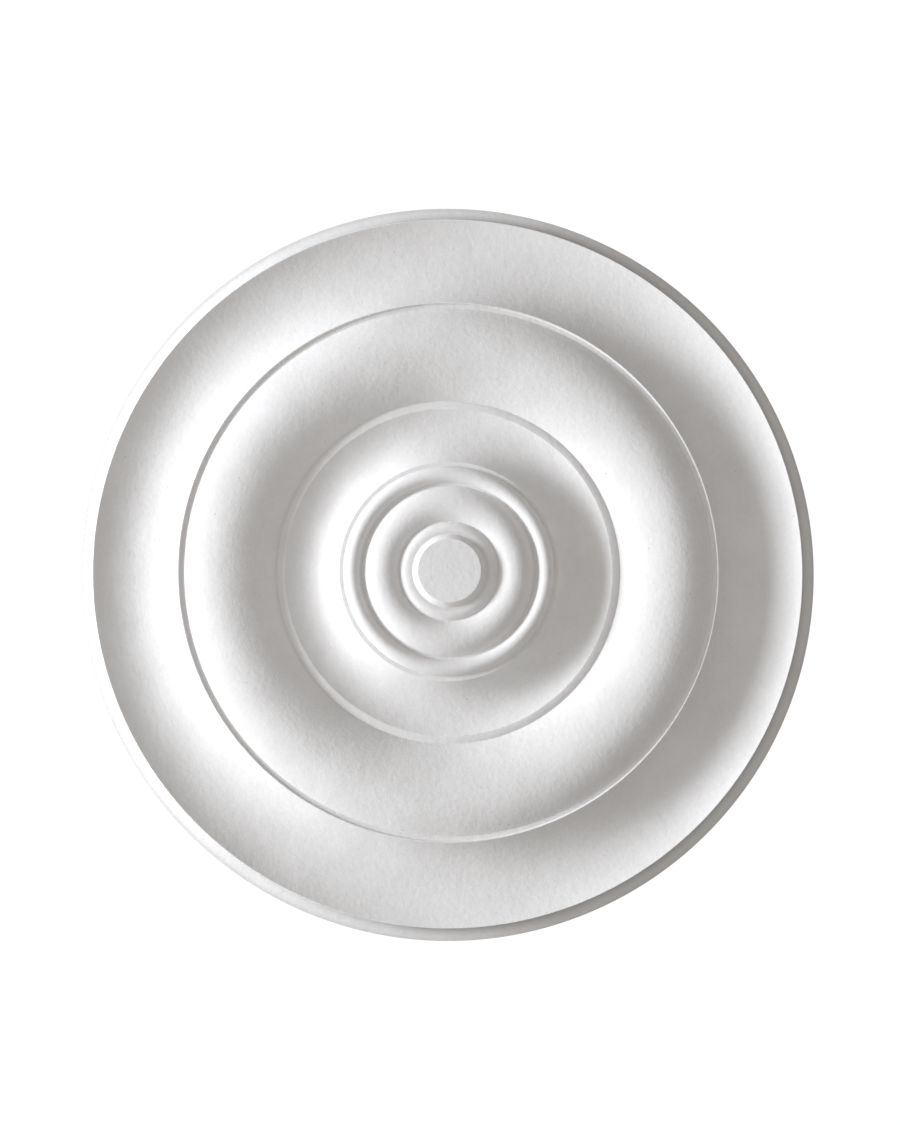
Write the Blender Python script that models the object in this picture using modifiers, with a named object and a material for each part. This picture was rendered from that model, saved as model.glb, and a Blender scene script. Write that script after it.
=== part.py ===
"""Plain round ceiling rose, a single casting in white plaster, in metres with +Z up.

The rose is modelled as it hangs. Its flat back lies against the ceiling at z = 0, with the origin at the
middle of the back, and the moulded face looks down. The face is a run of concentric mouldings: each is so
wide towards the middle and so deep down from the ceiling, and the curved ones turn through so many degrees.
Widths add up from the middle disc to the rim, so the whole rose measures 0.500 across and 0.0329 deep.
"""

import math

import bmesh
import bpy

# Rim: an upright lip at the ceiling, then a hollow side that steepens towards the outer arris
LIP_DROP = 0.0025
RIM_WIDTH = 0.0085
RIM_DROP = 0.0088
RIM_SWEEP = -68.0

# Outer cove, broad and hollow: a wide arc dips back behind the arris, then a tighter one falls to the quirk
OUTER_COVE_DIP_WIDTH = 0.0285
OUTER_COVE_DIP_RISE = 0.0052
OUTER_COVE_DIP_SWEEP = -29.0
OUTER_COVE_FALL_WIDTH = 0.0298
OUTER_COVE_FALL_DROP = 0.0139
OUTER_COVE_FALL_SWEEP = -42.0

# Quirk: a small step back and a flat, which part the cove from the torus
QUIRK_STEP_WIDTH = 0.0008
QUIRK_STEP_RISE = 0.0016
QUIRK_FLAT_WIDTH = 0.0029

# Torus, the broad round moulding: it falls past its crest, then a wider arc returns to the lower inner foot
TORUS_FALL_WIDTH = 0.0310
TORUS_FALL_DROP = 0.0081
TORUS_FALL_SWEEP = 42.0
TORUS_RETURN_WIDTH = 0.0317
TORUS_RETURN_RISE = 0.0132
TORUS_RETURN_SWEEP = 33.0

# Ovolo, a small flat round that faces the torus, and the inner cove behind it
OVOLO_WIDTH = 0.0054
OVOLO_DROP = 0.0014
OVOLO_SWEEP = 24.0
INNER_COVE_WIDTH = 0.0369
INNER_COVE_DROP = 0.0092
INNER_COVE_SWEEP = -75.0

# Bead, nearly a half round, between two flats
OUTER_FLAT_WIDTH = 0.0031
BEAD_WIDTH = 0.0113
BEAD_SWEEP = 150.0
INNER_FLAT_WIDTH = 0.0018

# Middle: a low round, a quarter round, a narrow flat and the bevelled edge of the disc
LOW_ROUND_WIDTH = 0.0244
LOW_ROUND_DROP = 0.0021
LOW_ROUND_SWEEP = 97.0
QUARTER_ROUND_WIDTH = 0.0064
QUARTER_ROUND_DROP = 0.0029
QUARTER_ROUND_SWEEP = 49.0
COLLAR_FLAT_WIDTH = 0.0026
BEVEL_WIDTH = 0.0034
BEVEL_DROP = 0.0040
DISC_RADIUS = 0.0215

# Facets: a curve leaves its true arc by no more than the tolerance, and a full turn has this many sides
CURVE_TOLERANCE = 0.0002
SIDES_AROUND = 96
SHARP_ANGLE = math.radians(28.0)

# Every moulding from the ceiling at the rim to the middle disc: width inwards, drop, degrees turned.
# A minus drop steps back towards the ceiling, and a minus turn is hollow.
MOULDINGS = (
    (0.0, LIP_DROP, 0.0),
    (RIM_WIDTH, RIM_DROP, RIM_SWEEP),
    (OUTER_COVE_DIP_WIDTH, -OUTER_COVE_DIP_RISE, OUTER_COVE_DIP_SWEEP),
    (OUTER_COVE_FALL_WIDTH, OUTER_COVE_FALL_DROP, OUTER_COVE_FALL_SWEEP),
    (QUIRK_STEP_WIDTH, -QUIRK_STEP_RISE, 0.0),
    (QUIRK_FLAT_WIDTH, 0.0, 0.0),
    (TORUS_FALL_WIDTH, TORUS_FALL_DROP, TORUS_FALL_SWEEP),
    (TORUS_RETURN_WIDTH, -TORUS_RETURN_RISE, TORUS_RETURN_SWEEP),
    (OVOLO_WIDTH, OVOLO_DROP, OVOLO_SWEEP),
    (INNER_COVE_WIDTH, INNER_COVE_DROP, INNER_COVE_SWEEP),
    (OUTER_FLAT_WIDTH, 0.0, 0.0),
    (BEAD_WIDTH, 0.0, BEAD_SWEEP),
    (INNER_FLAT_WIDTH, 0.0, 0.0),
    (LOW_ROUND_WIDTH, LOW_ROUND_DROP, LOW_ROUND_SWEEP),
    (QUARTER_ROUND_WIDTH, QUARTER_ROUND_DROP, QUARTER_ROUND_SWEEP),
    (COLLAR_FLAT_WIDTH, 0.0, 0.0),
    (BEVEL_WIDTH, BEVEL_DROP, 0.0),
    (DISC_RADIUS, 0.0, 0.0),
)


def clear_scene():
    for old in list(bpy.data.objects):
        bpy.data.objects.remove(old, do_unlink=True)


def moulding(start, width, drop, turn):
    """Points of one moulding after its start, as (distance from the axis, distance below the ceiling).

    The arc stands on the straight line between the moulding's two ends and turns through the given degrees.
    """
    end = (start[0] - width, start[1] + drop)
    if turn == 0.0:
        return [end]
    sweep = math.radians(turn)
    chord = math.hypot(width, drop)
    radius = chord / (2.0 * math.sin(sweep / 2.0))
    facet_angle = 2.0 * math.acos(1.0 - CURVE_TOLERANCE / abs(radius))
    facets = math.ceil(abs(sweep) / facet_angle)
    along = ((end[0] - start[0]) / chord, (end[1] - start[1]) / chord)
    outward = (along[1], -along[0])
    middle = ((start[0] + end[0]) / 2.0, (start[1] + end[1]) / 2.0)
    points = []
    for facet in range(1, facets + 1):
        angle = sweep * (facet / facets - 0.5)
        run = radius * math.sin(angle)
        bulge = radius * (math.cos(angle) - math.cos(sweep / 2.0))
        points.append(tuple(middle[i] + run * along[i] + bulge * outward[i] for i in (0, 1)))
    return points


def rose_profile():
    """The outline of half the rose, from the middle of the back out to the rim and in again along the face."""
    overall_radius = sum(width for width, drop, turn in MOULDINGS)
    points = [(0.0, 0.0), (overall_radius, 0.0)]
    for width, drop, turn in MOULDINGS:
        points += moulding(points[-1], width, drop, turn)
    points[-1] = (0.0, points[-1][1])
    return points


def turned_mesh(name, profile):
    """Turns the profile once round the Z axis and closes it on the axis, at the back and at the face."""
    bm = bmesh.new()
    corners = [bm.verts.new((radius, 0.0, -depth)) for radius, depth in profile]
    for first, second in zip(corners, corners[1:]):
        bm.edges.new((first, second))
    outline = bpy.data.meshes.new(name + "_outline")
    bm.to_mesh(outline)
    bm.free()
    guide = bpy.data.objects.new(name + "_outline", outline)
    bpy.context.scene.collection.objects.link(guide)
    screw = guide.modifiers.new("turn", "SCREW")
    screw.axis = "Z"
    screw.angle = math.tau
    screw.steps = SIDES_AROUND
    screw.render_steps = SIDES_AROUND
    screw.use_merge_vertices = True
    screw.merge_threshold = 0.00001
    turned = guide.evaluated_get(bpy.context.evaluated_depsgraph_get())
    mesh = bpy.data.meshes.new_from_object(turned)
    mesh.name = name
    bpy.data.objects.remove(guide, do_unlink=True)
    mesh.shade_smooth()
    mesh.set_sharp_from_angle(angle=SHARP_ANGLE)
    return mesh


def plaster():
    """Matt white casting plaster, left unpainted."""
    material = bpy.data.materials.new("white_plaster")
    material.use_nodes = True
    surface = material.node_tree.nodes["Principled BSDF"]
    surface.inputs["Base Color"].default_value = (0.80, 0.80, 0.79, 1.0)
    surface.inputs["Roughness"].default_value = 0.80
    surface.inputs["Metallic"].default_value = 0.0
    material.diffuse_color = (0.80, 0.80, 0.79, 1.0)
    return material


clear_scene()
rose = bpy.data.objects.new("rose", turned_mesh("rose", rose_profile()))
rose.data.materials.append(plaster())
collection = bpy.data.collections.new("ceiling_rose")
bpy.context.scene.collection.children.link(collection)
collection.objects.link(rose)
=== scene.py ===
import math

import bmesh
import bpy
from mathutils import Matrix, Vector


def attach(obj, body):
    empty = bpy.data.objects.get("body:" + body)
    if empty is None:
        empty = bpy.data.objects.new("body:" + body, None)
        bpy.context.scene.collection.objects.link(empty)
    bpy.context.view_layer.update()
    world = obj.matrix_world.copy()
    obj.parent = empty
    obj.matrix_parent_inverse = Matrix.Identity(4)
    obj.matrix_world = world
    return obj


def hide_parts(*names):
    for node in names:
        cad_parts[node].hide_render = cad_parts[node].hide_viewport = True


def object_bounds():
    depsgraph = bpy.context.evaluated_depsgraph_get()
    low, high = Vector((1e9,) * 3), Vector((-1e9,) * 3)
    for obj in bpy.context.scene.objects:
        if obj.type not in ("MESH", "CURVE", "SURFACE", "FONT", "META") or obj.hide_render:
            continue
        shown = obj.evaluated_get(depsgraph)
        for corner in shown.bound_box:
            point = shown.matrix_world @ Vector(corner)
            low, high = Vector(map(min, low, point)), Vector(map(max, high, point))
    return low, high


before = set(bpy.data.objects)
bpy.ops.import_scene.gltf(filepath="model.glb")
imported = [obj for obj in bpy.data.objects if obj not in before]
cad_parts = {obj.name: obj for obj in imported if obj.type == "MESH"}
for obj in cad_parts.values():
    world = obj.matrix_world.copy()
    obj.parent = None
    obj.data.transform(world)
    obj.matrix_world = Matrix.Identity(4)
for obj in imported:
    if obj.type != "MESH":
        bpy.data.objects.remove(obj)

cad_low, cad_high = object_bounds()

# The picture is nearly square on from below with a long lens, as a catalogue shows a ceiling rose. The eye
# stands a few degrees off the axis, towards the lower left of the picture, whose top is -Y and left is -X.
picture_width = 900
picture_height = 1125
rose_width_in_picture = 733
rose_centre_in_picture = Vector((447.9, 573.5))
eye_distance = 3.6
eye_left_of_axis = math.radians(1.9)
eye_below_axis = math.radians(3.5)
film_width = 36

metres_per_pixel = (cad_high.x - cad_low.x) / rose_width_in_picture
picture_right = Vector((1, 0, 0))
picture_up = Vector((0, -1, 0))
rose_middle = (cad_low + cad_high) / 2
off_centre = (Vector((picture_width, picture_height)) / 2 - rose_centre_in_picture) * metres_per_pixel
aim = Vector((0, 0, cad_high.z)) + picture_right * off_centre.x - picture_up * off_centre.y
eye = rose_middle + eye_distance * Vector((-math.tan(eye_left_of_axis), math.tan(eye_below_axis), -1))
looking = (aim - eye).normalized()
right = looking.cross(picture_up).normalized()
up = right.cross(looking)
camera_data = bpy.data.cameras.new("catalogue_camera")
camera_data.sensor_width = film_width
camera_data.lens = film_width * (aim - eye).length / (picture_height * metres_per_pixel)
camera = bpy.data.objects.new("catalogue_camera", camera_data)
camera.matrix_world = Matrix.Translation(eye) @ Matrix((right, up, -looking)).transposed().to_4x4()
bpy.context.scene.collection.objects.link(camera)
bpy.context.scene.camera = camera

# The rose is one casting in fine white plaster, bedded on the ceiling in adhesive plaster. Its pattern was
# run with a template turned about a centre pin, so every moulding is a ring with slightly soft arrises. The
# back was struck off level with a straightedge, then combed so that the adhesive grips it.

# Widths run inwards from the rim and drops run down from the ceiling, in metres; a hollow turns by minus.
lip_drop = 0.0025
rim_width, rim_drop, rim_turn = 0.0085, 0.0088, -68
cove_dip_rise, cove_dip_turn = 0.0052, -29
cove_fall_width, cove_fall_drop, cove_fall_turn = 0.0298, 0.0139, -42
quirk_step_width, quirk_step_rise, quirk_flat_width = 0.0008, 0.0016, 0.0029
torus_fall_width, torus_fall_drop, torus_fall_turn = 0.0310, 0.0081, 42
torus_return_width, torus_return_rise, torus_return_turn = 0.0317, 0.0132, 33
ovolo_width, ovolo_drop, ovolo_turn = 0.0054, 0.0014, 24
inner_cove_width, inner_cove_drop, inner_cove_turn = 0.0369, 0.0092, -75
outer_flat_width, bead_width, bead_turn, inner_flat_width = 0.0031, 0.0113, 150, 0.0018
low_round_width, low_round_drop, low_round_turn = 0.0244, 0.0021, 97
quarter_round_width, quarter_round_drop, quarter_round_turn = 0.0064, 0.0029, 49
collar_flat_width = 0.0026
bevel_width, bevel_drop = 0.0034, 0.0040
disc_radius = 0.0215

rose_radius = (cad_high.x - cad_low.x) / 2
inside_the_dip = [
    (cove_fall_width, cove_fall_drop, cove_fall_turn),
    (quirk_step_width, -quirk_step_rise, 0),
    (quirk_flat_width, 0, 0),
    (torus_fall_width, torus_fall_drop, torus_fall_turn),
    (torus_return_width, -torus_return_rise, torus_return_turn),
    (ovolo_width, ovolo_drop, ovolo_turn),
    (inner_cove_width, inner_cove_drop, inner_cove_turn),
    (outer_flat_width, 0, 0),
    (bead_width, 0, bead_turn),
    (inner_flat_width, 0, 0),
    (low_round_width, low_round_drop, low_round_turn),
    (quarter_round_width, quarter_round_drop, quarter_round_turn),
    (collar_flat_width, 0, 0),
    (bevel_width, bevel_drop, 0),
    (disc_radius, 0, 0),
]
cove_dip_width = rose_radius - rim_width - sum(width for width, drop, turn in inside_the_dip)
mouldings = [
    (0, lip_drop, 0),
    (rim_width, rim_drop, rim_turn),
    (cove_dip_width, -cove_dip_rise, cove_dip_turn),
    *inside_the_dip,
]

# How finely the template's edge is drawn, how far its sharp corners are eased, and how little a corner may
# bend before its crease takes dust and painted shade, or its arris takes wear.
longest_step = 0.0020
widest_facet = math.radians(7)
arris_softness = 0.0006
crease_softness = 0.0003
softening_steps = 3
flat_keeper = 0.0003
most_of_a_side = 0.45
least_bend = math.radians(10)
rings_on_the_back = 26
corners_at_the_ceiling = 2


def run_moulding(start, width, drop, turn):
    """Points of one moulding after its start: an arc that stands on the line between its two ends."""
    end = Vector((start.x - width, start.y - drop))
    chord = end - start
    if turn == 0:
        return [end]
    sweep = math.radians(turn)
    radius = chord.length / (2 * math.sin(sweep / 2))
    steps = max(math.ceil(abs(radius * sweep) / longest_step), math.ceil(abs(sweep) / widest_facet))
    along = chord.normalized()
    downward = Vector((-along.y, along.x))
    middle = (start + end) / 2
    points = []
    for step in range(1, steps + 1):
        angle = sweep * (step / steps - 0.5)
        bulge = radius * (math.cos(angle) - math.cos(sweep / 2))
        points.append(middle + along * radius * math.sin(angle) + downward * bulge)
    return points


def bend(points, index):
    """How far the template's edge bends at a point: plus where it stands out, minus where it goes in."""
    return (points[index] - points[index - 1]).angle_signed(points[index + 1] - points[index])


def softened(points, corners):
    """The template's edge with each sharp corner eased, an arris more than a crease."""
    eased = []
    for index, point in enumerate(points):
        if index not in corners:
            eased.append(point)
            continue
        before, after = points[index - 1] - point, points[index + 1] - point
        turned = bend(points, index)
        softness = arris_softness if turned > 0 else crease_softness
        reach = min(
            softness * math.tan(abs(turned) / 2),
            most_of_a_side * before.length, most_of_a_side * after.length)
        first, last = point + before.normalized() * reach, point + after.normalized() * reach
        if before.length > 2 * (reach + flat_keeper):
            eased.append(point + before.normalized() * (reach + flat_keeper))
        for step in range(softening_steps + 1):
            t = step / softening_steps
            eased.append(first * (1 - t) ** 2 + point * 2 * t * (1 - t) + last * t ** 2)
        if after.length > 2 * (reach + flat_keeper):
            eased.append(point + after.normalized() * (reach + flat_keeper))
    return eased


back_step = rose_radius / rings_on_the_back
edge = [Vector((back_step * ring, 0)) for ring in range(rings_on_the_back)]
edge.append(Vector((rose_radius, 0)))
corners = [len(edge) - 1]
for width, drop, turn in mouldings:
    edge += run_moulding(edge[-1], width, drop, turn)
    corners.append(len(edge) - 1)
edge[-1].x = 0
corners.pop()
moulded = corners[corners_at_the_ceiling:]
arris_radii = [edge[corner].x for corner in moulded if bend(edge, corner) > least_bend]
crease_radii = [edge[corner].x for corner in moulded if bend(edge, corner) < -least_bend]
edge = softened(edge, corners)

template = bpy.data.meshes.new("template")
template.from_pydata([(p.x, 0, p.y) for p in edge], [(i, i + 1) for i in range(len(edge) - 1)], [])


class Wire:
    """One output of a node tree. Sums written on it add their own Math nodes to the tree."""

    noise_roughness = 0.55
    pinhole_floor = 0.7

    def __init__(self, tree, socket):
        self.tree = tree
        self.socket = socket

    def output(self, index):
        """Another output of the same node."""
        return Wire(self.tree, self.socket.node.outputs[index])

    def maths(self, operation, *others):
        """A Math node on this wire and up to two more values."""
        values = dict(enumerate((self, *others)))
        return add_node(self.tree, "ShaderNodeMath", {"operation": operation}, values)

    def __add__(self, other):
        return self.maths("ADD", other)

    def __sub__(self, other):
        return self.maths("SUBTRACT", other)

    def __rsub__(self, other):
        return add_node(self.tree, "ShaderNodeMath", {"operation": "SUBTRACT"}, {0: other, 1: self})

    def __mul__(self, other):
        return self.maths("MULTIPLY", other)

    def __truediv__(self, other):
        return self.maths("DIVIDE", other)

    def __rtruediv__(self, other):
        return add_node(self.tree, "ShaderNodeMath", {"operation": "DIVIDE"}, {0: other, 1: self})

    def __abs__(self):
        return self.maths("ABSOLUTE")

    __radd__ = __add__
    __rmul__ = __mul__

    def fade(self, start, stop):
        """0 up to start, 1 from stop, and a smooth way between."""
        values = {"Value": self, "From Min": start, "From Max": stop}
        return add_node(self.tree, "ShaderNodeMapRange", {"interpolation_type": "SMOOTHSTEP"}, values)

    def blend(self, first, second):
        """The first colour with this much of the second over it."""
        values = {0: self, 6: first, 7: second}
        return add_node(self.tree, "ShaderNodeMix", {"data_type": "RGBA"}, values, output=2)

    def noise(self, per_metre, detail):
        """Smooth noise around a half, at this place."""
        values = {"Vector": self, "Scale": per_metre, "Detail": detail, "Roughness": self.noise_roughness}
        return add_node(self.tree, "ShaderNodeTexNoise", {}, values)

    def pinholes(self, per_metre, size):
        """1 in round voids as wide as the size given, where trapped air met the surface."""
        distance = add_node(self.tree, "ShaderNodeTexVoronoi", {}, {"Vector": self, "Scale": per_metre})
        edge = size * per_metre / 2
        return 1 - distance.fade(edge * self.pinhole_floor, edge)


def add_node(tree, kind, settings, values, output=0):
    """Adds a node, makes its settings, then fills its sockets with plain values or wires."""
    node = tree.nodes.new(kind)
    for name, setting in settings.items():
        setattr(node, name, setting)
    for name, value in values.items():
        if isinstance(value, Wire):
            tree.links.new(value.socket, node.inputs[name])
        else:
            node.inputs[name].default_value = value
    return Wire(tree, node.outputs[output])


def point(x, y, z):
    """A place whose numbers are wires or plain values."""
    tree = next(value.tree for value in (x, y, z) if isinstance(value, Wire))
    return add_node(tree, "ShaderNodeCombineXYZ", {}, {0: x, 1: y, 2: z})


millimetre = 0.001
plaster_gloss = 0.25


def new_finish(name):
    """An empty material, with the place on the rose that its patterns read and how far out that is."""
    material = bpy.data.materials.new(name)
    material.use_nodes = True
    material.node_tree.nodes.clear()
    place = add_node(material.node_tree, "ShaderNodeTexCoord", {}, {}, output=3)
    x = add_node(material.node_tree, "ShaderNodeSeparateXYZ", {}, {"Vector": place})
    y = x.output(1)
    return material, place, x, y, (x * x + y * y).maths("SQRT")


def join_finish(material, colour, roughness, relief):
    """Joins a finish's patterns to its surface; the relief is in millimetres."""
    tree = material.node_tree
    normal = add_node(
        tree, "ShaderNodeBump", {}, {"Strength": 1, "Distance": millimetre, "Height": relief})
    surface = add_node(
        tree, "ShaderNodeBsdfPrincipled", {},
        {"Base Color": colour, "Roughness": roughness, "Normal": normal,
         "Specular IOR Level": plaster_gloss})
    output = tree.nodes.new("ShaderNodeOutputMaterial")
    tree.links.new(surface.socket, output.inputs[0])
    return material


def mixed(*shares):
    """Patterns added up by their shares, so that the sum still lies around a half."""
    total = sum(pattern * share for pattern, share in shares)
    return total + (1 - sum(share for pattern, share in shares)) / 2


# The face: its colours, how many of each mark lie in a metre, how deep each is in millimetres and how
# strongly it shows, and where the dust and painted shade in the creases and the rubbed places come and go.
face_dark, face_light = (0.700, 0.692, 0.683, 1), (0.892, 0.892, 0.893, 1)
# A grey for dust, and for the painted shade in the creases, round the collar and at the outer edge.
dust_and_shade_grey = (0.56, 0.545, 0.52, 1)
rubbed_white = (0.87, 0.87, 0.868, 1)
# Painted shade inside the pinholes and air bubbles, which are voids in the plaster.
void_painted_shade_grey = (0.40, 0.39, 0.375, 1)
clouds_in_a_metre = 8
blotches_in_a_metre, blotch_depth = 42, 0.40
tooth_in_a_metre, tooth_depth = 270, 0.22
grains_in_a_metre, grain_depth = 1400, 0.08
drag_lines_in_a_metre, drag_line_depth, drag_lines_around = 900, 0.05, 1.5
pinholes_in_a_metre, pinhole_width, pinhole_depth = 85, 0.0008, 0.30
ring_band_reach = 0.0020
rubbed_reach = 0.0014
# Where the painted shaded ring round the collar runs.
collar_middle = disc_radius + bevel_width + collar_flat_width / 2
# Where the painted shade at the outer edge of the rim side starts and is full.
grey_edge_starts, grey_edge_full = 0.0034, 0.00068
dust_and_shade_patches, rubbed_patches = (0.75, 1.2), (0.6, 0.95)
crease_dust_and_shade_strength, collar_painted_shade_strength, edge_painted_shade_strength = 0.10, 0.30, 0.34
rubbed_strength, pinhole_strength = 0.45, 0.6
face_roughness, rubbed_smoothness = 0.70, 0.10
blotch_roughness, tooth_roughness = 0.16, 0.06
too_near_the_axis = 0.001


def face_finish():
    """The moulded face: powdery and faintly clouded, with drag lines round the rings, dust and painted
    shade in the creases, a painted shaded ring round the collar, painted shade in the pinholes and a
    painted shaded grey edge.
    """
    material, place, x, y, radius = new_finish("cast_face")

    def beside(radii, reach):
        """1 on each of these rings, and 0 from the reach away."""
        return sum(1 - abs(radius - ring).fade(0, reach) for ring in radii)

    cloud = place.noise(clouds_in_a_metre, 2)
    blotch = place.noise(blotches_in_a_metre, 3)
    tooth = place.noise(tooth_in_a_metre, 2)
    grain = place.noise(grains_in_a_metre, 2)
    around = drag_lines_around / (radius + too_near_the_axis)
    drag = point(radius * drag_lines_in_a_metre, x * around, y * around).noise(1, 2)
    air = place.pinholes(pinholes_in_a_metre, pinhole_width)
    # Dust in the creases, which also paints the shade that falls there.
    crease_dust_and_shade = beside(crease_radii, ring_band_reach) * (blotch + cloud).fade(*dust_and_shade_patches)
    # Painted shade: a dark ring round the collar flat, standing in for the shade in that narrow flat.
    collar_painted_shade = beside([collar_middle], ring_band_reach)
    rubbed = beside(arris_radii, rubbed_reach) * (tooth / 2 + blotch).fade(*rubbed_patches)
    # Painted shade: the rim side grows grey towards its outer edge.
    edge_painted_shade = radius.fade(rose_radius - grey_edge_starts, rose_radius - grey_edge_full)

    mottle = mixed((cloud, 0.9), (blotch, 0.5), (tooth, 0.3), (grain, 0.3))
    # Dust and painted shade, added up as one share of grey.
    dust_and_painted_shade = crease_dust_and_shade * crease_dust_and_shade_strength + collar_painted_shade * collar_painted_shade_strength + edge_painted_shade * edge_painted_shade_strength
    white = mottle.blend(face_dark, face_light)
    white = dust_and_painted_shade.blend(white, dust_and_shade_grey)
    white = (rubbed * rubbed_strength).blend(white, rubbed_white)
    # Painted shade in the pinholes.
    white = (air * pinhole_strength).blend(white, void_painted_shade_grey)
    roughness = blotch * blotch_roughness + tooth * tooth_roughness
    roughness = roughness - rubbed * rubbed_smoothness + face_roughness
    relief = tooth * tooth_depth + grain * grain_depth + drag * drag_line_depth
    relief = relief + blotch * blotch_depth - air * pinhole_depth
    return join_finish(material, white, roughness, relief)


# The back: its own colours and marks. The straightedge swung in wide arcs, and the comb has three teeth.
back_dark, back_light = (0.66, 0.635, 0.60, 1), (0.85, 0.83, 0.80, 1)
fibre_tan = (0.46, 0.37, 0.25, 1)
back_edge_band, back_edge_softness = 0.011, 0.0044
coarse_grains_in_a_metre, coarse_grain_depth = 900, 0.10
swing_curve = 0.35
streaks_in_a_metre, streaks_along, streak_depth = 190, 5, 0.8
chatter_in_a_metre, chatter_along, chatter_slice, chatter_depth = 260, 14, 3, 0.15
unevenness_depth = 0.6
comb_leans, comb_seeds = (38, -47), (0.2, 5.6)
comb_tracks_apart, comb_track_stride = 0.040, 3.7
comb_teeth, comb_teeth_apart = 3, 0.0055
comb_strokes_in_a_metre, comb_lands = 9, (0.50, 0.56)
comb_drifts_in_a_metre, comb_drift = 3.5, 0.09
scratch_width, scratch_floor, scratch_depth, scratch_dust = 0.0020, 0.0006, 0.50, 0.15
fibres_in_a_metre, fibre_thickness, fibre_height = 30, (0.001, 0.006), 0.08
fibre_patches, fibre_strength = (0.5, 0.6), 0.40
bubbles_in_a_metre, bubble_width, bubble_depth, bubble_strength = 170, 0.0010, 0.35, 0.7
back_roughness, streak_roughness = 0.74, 0.08


def back_finish():
    """The struck-off back: streaks of the straightedge, comb scratches, fibre strands, and air bubbles with
    painted shade in them.
    """
    material, place, x, y, radius = new_finish("struck_back")
    band_starts = rose_radius - back_edge_band
    inside = 1 - radius.fade(band_starts, band_starts + back_edge_softness)
    cloud = place.noise(clouds_in_a_metre, 3)
    blotch = place.noise(blotches_in_a_metre, 4)
    grain = place.noise(coarse_grains_in_a_metre, 3)
    swing = y + x * x * swing_curve
    streak = point(x * streaks_along, swing * streaks_in_a_metre, 0).noise(1, 4)
    chatter = point(x * chatter_in_a_metre, swing * chatter_along, chatter_slice).noise(1, 2)
    drift = place.noise(comb_drifts_in_a_metre, 0) * comb_drift + blotch * scratch_width

    def comb_scratches(lean, seed):
        """Tracks of the comb that lean by the degrees given, and start and stop."""
        sine, cosine = math.sin(math.radians(lean)), math.cos(math.radians(lean))
        tracks = (x * sine + y * cosine + drift) / comb_tracks_apart + seed
        track = tracks.maths("FLOOR")
        across = (tracks - track - 0.5) * comb_tracks_apart
        off_the_tooth = comb_teeth_apart / 2 - (across + comb_teeth_apart / 2).maths(
            "PINGPONG", comb_teeth_apart / 2)
        groove = 1 - off_the_tooth.fade(scratch_floor / 2, scratch_width / 2)
        groove = groove * abs(across).maths("LESS_THAN", comb_teeth * comb_teeth_apart / 2)
        along = (x * cosine - y * sine) * comb_strokes_in_a_metre
        stroke = point(along, track * comb_track_stride, seed).noise(1, 0)
        return groove * stroke.fade(*comb_lands)

    one_way, other_way = (comb_scratches(lean, seed) for lean, seed in zip(comb_leans, comb_seeds))
    key = one_way.maths("MAXIMUM", other_way) * inside
    strand = 1 - abs(place.noise(fibres_in_a_metre, 1) - 0.5).fade(*fibre_thickness)
    fibre = strand * blotch.fade(*fibre_patches) * inside
    bubble = place.pinholes(bubbles_in_a_metre, bubble_width)

    stain = mixed((cloud, 0.8), (blotch, 0.5), (streak, 0.7), (grain, 0.2))
    white = stain.blend(back_dark, back_light)
    white = (key * scratch_dust).blend(white, dust_and_shade_grey)
    white = (fibre * fibre_strength).blend(white, fibre_tan)
    # Painted shade in the air bubbles.
    white = (bubble * bubble_strength).blend(white, void_painted_shade_grey)
    roughness = blotch * blotch_roughness + streak * streak_roughness + back_roughness
    relief = streak * inside * streak_depth + chatter * chatter_depth + blotch * unevenness_depth
    relief = relief + grain * coarse_grain_depth + fibre * fibre_height
    relief = relief - key * scratch_depth - bubble * bubble_depth
    return join_finish(material, white, roughness, relief)


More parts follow.
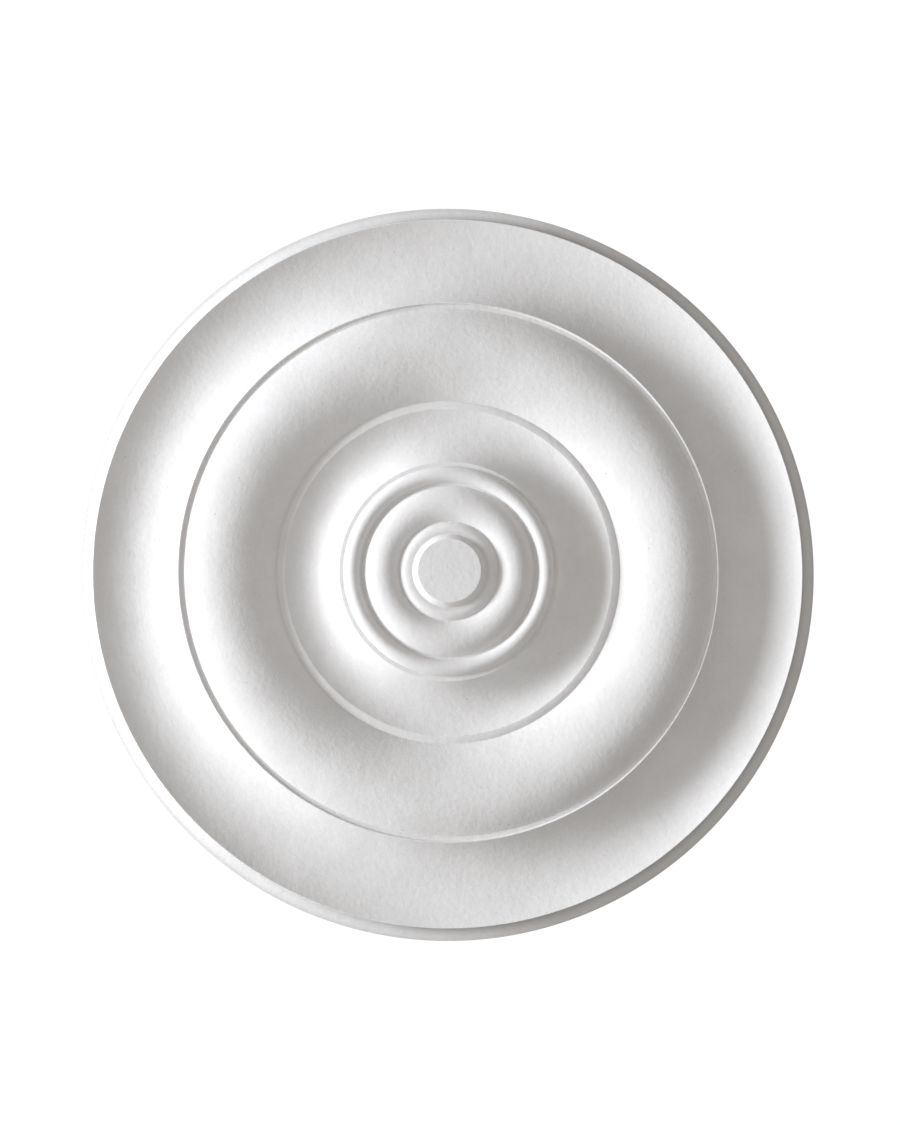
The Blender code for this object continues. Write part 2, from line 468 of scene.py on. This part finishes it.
def turning_tree():
    """Turns the template's edge about the Z axis: a grid of rings by sides, wrapped round and closed."""
    tree = bpy.data.node_groups.new("turn_the_template", "GeometryNodeTree")
    inputs = {
        "Template": "NodeSocketGeometry",
        "Sides around": "NodeSocketInt",
        "Seam tolerance": "NodeSocketFloat",
        "Dip of the back": "NodeSocketFloat",
        "Dips in a metre": "NodeSocketFloat",
        "Level edge radius": "NodeSocketFloat",
        "Face finish": "NodeSocketMaterial",
        "Back finish": "NodeSocketMaterial",
    }
    for name, kind in inputs.items():
        tree.interface.new_socket(name, in_out="INPUT", socket_type=kind)
    tree.interface.new_socket("Rose", in_out="OUTPUT", socket_type="NodeSocketGeometry")
    given = tree.nodes.new("NodeGroupInput")
    wires = [Wire(tree, given.outputs[name]) for name in inputs]
    template_edge, sides, tolerance, dip, dips_in_a_metre, level_radius, face, back = wires
    rings = add_node(tree, "GeometryNodeAttributeDomainSize", {}, {"Geometry": template_edge})
    sheet = add_node(tree, "GeometryNodeMeshGrid", {}, {"Vertices X": rings, "Vertices Y": sides + 1})
    number = add_node(tree, "GeometryNodeInputIndex", {}, {})
    ring = (number / (sides + 1)).maths("FLOOR")
    side = number - ring * (sides + 1)
    place = add_node(tree, "GeometryNodeInputPosition", {}, {})
    on_template = add_node(
        tree, "GeometryNodeSampleIndex", {"data_type": "FLOAT_VECTOR"},
        {"Geometry": template_edge, "Value": place, "Index": ring})
    turned = add_node(
        tree, "ShaderNodeVectorRotate", {"rotation_type": "Z_AXIS"},
        {"Vector": on_template, "Angle": side * math.tau / sides})
    wrapped = add_node(tree, "GeometryNodeSetPosition", {}, {"Geometry": sheet, "Position": turned})
    closed = add_node(
        tree, "GeometryNodeMergeByDistance", {}, {"Geometry": wrapped, "Distance": tolerance})
    x = add_node(tree, "ShaderNodeSeparateXYZ", {}, {"Vector": place})
    y, z = x.output(1), x.output(2)
    inside_edge = (x * x + y * y).maths("LESS_THAN", level_radius * level_radius)
    hollow = place.noise(dips_in_a_metre, 2) * inside_edge * z.maths("GREATER_THAN", tolerance * -1)
    sunk = point(0, 0, hollow * dip * -1)
    struck = add_node(tree, "GeometryNodeSetPosition", {}, {"Geometry": closed, "Offset": sunk})
    smooth = add_node(tree, "GeometryNodeSetShadeSmooth", {}, {"Geometry": struck})
    real = add_node(tree, "GeometryNodeRealizeInstances", {}, {"Geometry": smooth})
    dressed = add_node(tree, "GeometryNodeSetMaterial", {}, {"Geometry": real, "Material": face})
    on_the_back = z.maths("GREATER_THAN", dip * -1)
    dressed = add_node(
        tree, "GeometryNodeSetMaterial", {},
        {"Geometry": dressed, "Selection": on_the_back, "Material": back})
    result = tree.nodes.new("NodeGroupOutput")
    tree.links.new(dressed.socket, result.inputs[0])
    return tree


sides_around = 360
seam_tolerance = 0.000001
back_dip = 0.0003
back_dips_in_a_metre = 16.0

blank = bpy.data.objects.new("rose_blank", template)
bpy.context.scene.collection.objects.link(blank)
lathe = blank.modifiers.new("lathe", "NODES")
lathe.node_group = turning_tree()
lathe_inputs = {
    "Sides around": sides_around,
    "Seam tolerance": seam_tolerance,
    "Dip of the back": back_dip,
    "Dips in a metre": back_dips_in_a_metre,
    "Level edge radius": rose_radius - back_edge_band,
    "Face finish": face_finish(),
    "Back finish": back_finish(),
}
for item in lathe.node_group.interface.items_tree:
    if item.name in lathe_inputs:
        lathe[item.identifier] = lathe_inputs[item.name]
shaped = blank.evaluated_get(bpy.context.evaluated_depsgraph_get())
casting = bpy.data.meshes.new_from_object(shaped)
bpy.data.objects.remove(blank)
bm = bmesh.new()
bm.from_mesh(casting)
bmesh.ops.recalc_face_normals(bm, faces=bm.faces)
bm.to_mesh(casting)
bm.free()
plaster_rose = bpy.data.objects.new("plaster_rose", casting)
bpy.context.scene.collection.objects.link(plaster_rose)
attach(plaster_rose, "root")
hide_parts("rose")

# The studio has a plain pale floor well below the rose, lit softly from high above, which throws that light
# back up at the moulded face. The paper backdrop goes from the floor's own tone up to white overhead.
floor_level = -4.2
floor_size = 160
floor_colour = (0.437, 0.421, 0.407, 1)
overhead_light = 3.07
overhead_lean = math.radians(25)
overhead_spread = math.radians(20)
backdrop_white_from = 0.6
backdrop_white = (1.04, 1.04, 1.04, 1)

floor_mesh = bpy.data.meshes.new("studio_floor")
half = floor_size / 2
floor_corners = [
    (-half, -half, floor_level), (half, -half, floor_level),
    (half, half, floor_level), (-half, half, floor_level)]
floor_mesh.from_pydata(floor_corners, [], [(0, 1, 2, 3)])
floor_paint = bpy.data.materials.new("studio_floor_paint")
floor_paint.use_nodes = True
floor_surface = floor_paint.node_tree.nodes["Principled BSDF"]
floor_surface.inputs["Base Color"].default_value = floor_colour
floor_surface.inputs["Roughness"].default_value = 1
floor_surface.inputs["Specular IOR Level"].default_value = 0
floor_mesh.materials.append(floor_paint)
studio_floor = bpy.data.objects.new("studio_floor", floor_mesh)
bpy.context.scene.collection.objects.link(studio_floor)

overhead = bpy.data.lights.new("overhead", "SUN")
overhead.energy = overhead_light / math.cos(overhead_lean)
overhead.angle = overhead_spread
overhead_lamp = bpy.data.objects.new("overhead_lamp", overhead)
overhead_lamp.rotation_euler = (0, -overhead_lean, 0)
bpy.context.scene.collection.objects.link(overhead_lamp)

world = bpy.data.worlds.new("studio_backdrop")
world.use_nodes = True
bpy.context.scene.world = world
backdrop = world.node_tree
backdrop.nodes.clear()
floor_tone = [channel * overhead_light / math.pi for channel in floor_colour[:3]] + [1]
outward = add_node(backdrop, "ShaderNodeTexCoord", {}, {})
height = add_node(backdrop, "ShaderNodeSeparateXYZ", {}, {"Vector": outward}, output=2)
paper = height.fade(0, backdrop_white_from).blend(floor_tone, backdrop_white)
seen = add_node(backdrop, "ShaderNodeLightPath", {}, {})
shown = add_node(backdrop, "ShaderNodeBackground", {}, {"Color": paper, "Strength": seen})
world_output = backdrop.nodes.new("ShaderNodeOutputWorld")
backdrop.links.new(shown.socket, world_output.inputs[0])
bpy.context.scene.view_settings.view_transform = "Standard"

# Two soft lamps light the face. A wide one far to the left, a little below the ceiling, rakes across the
# rings, and a weak panel nearby, at the lower left, lifts the slopes that it leaves in shade.
lamp_distance = 10
lamp_below_face = math.radians(15.8)
lamp_round = math.radians(6.0)
lamp_width = 5.2
lamp_height = 2.2
lamp_spread = math.radians(40)
lamp_power = 94
lamp_colour = (0.965, 0.995, 1.045)
panel_place = Vector((-1.3, 0.6, -0.9))
panel_width = 1.2
panel_height = 1.2
panel_spread = math.radians(120)
panel_power = 1.9
panel_colour = (1.0, 0.99, 0.98)


def soft_lamp(name, place, width, height, spread, power, colour):
    """An oblong lamp that faces the rose and that the camera doesn't see."""
    light = bpy.data.lights.new(name, "AREA")
    light.shape = "RECTANGLE"
    light.size = width
    light.size_y = height
    light.spread = spread
    light.energy = power
    light.color = colour
    lamp = bpy.data.objects.new(name, light)
    lamp.location = place
    lamp.rotation_euler = (place - rose_middle).to_track_quat("Z", "Y").to_euler()
    lamp.visible_camera = False
    bpy.context.scene.collection.objects.link(lamp)


lamp_way = Vector((
    -math.cos(lamp_below_face) * math.cos(lamp_round),
    -math.cos(lamp_below_face) * math.sin(lamp_round),
    -math.sin(lamp_below_face)))
lamp_place = rose_middle + lamp_way * lamp_distance
soft_lamp("raking_lamp", lamp_place, lamp_width, lamp_height, lamp_spread, lamp_power, lamp_colour)
soft_lamp("fill_panel", panel_place, panel_width, panel_height, panel_spread, panel_power, panel_colour)
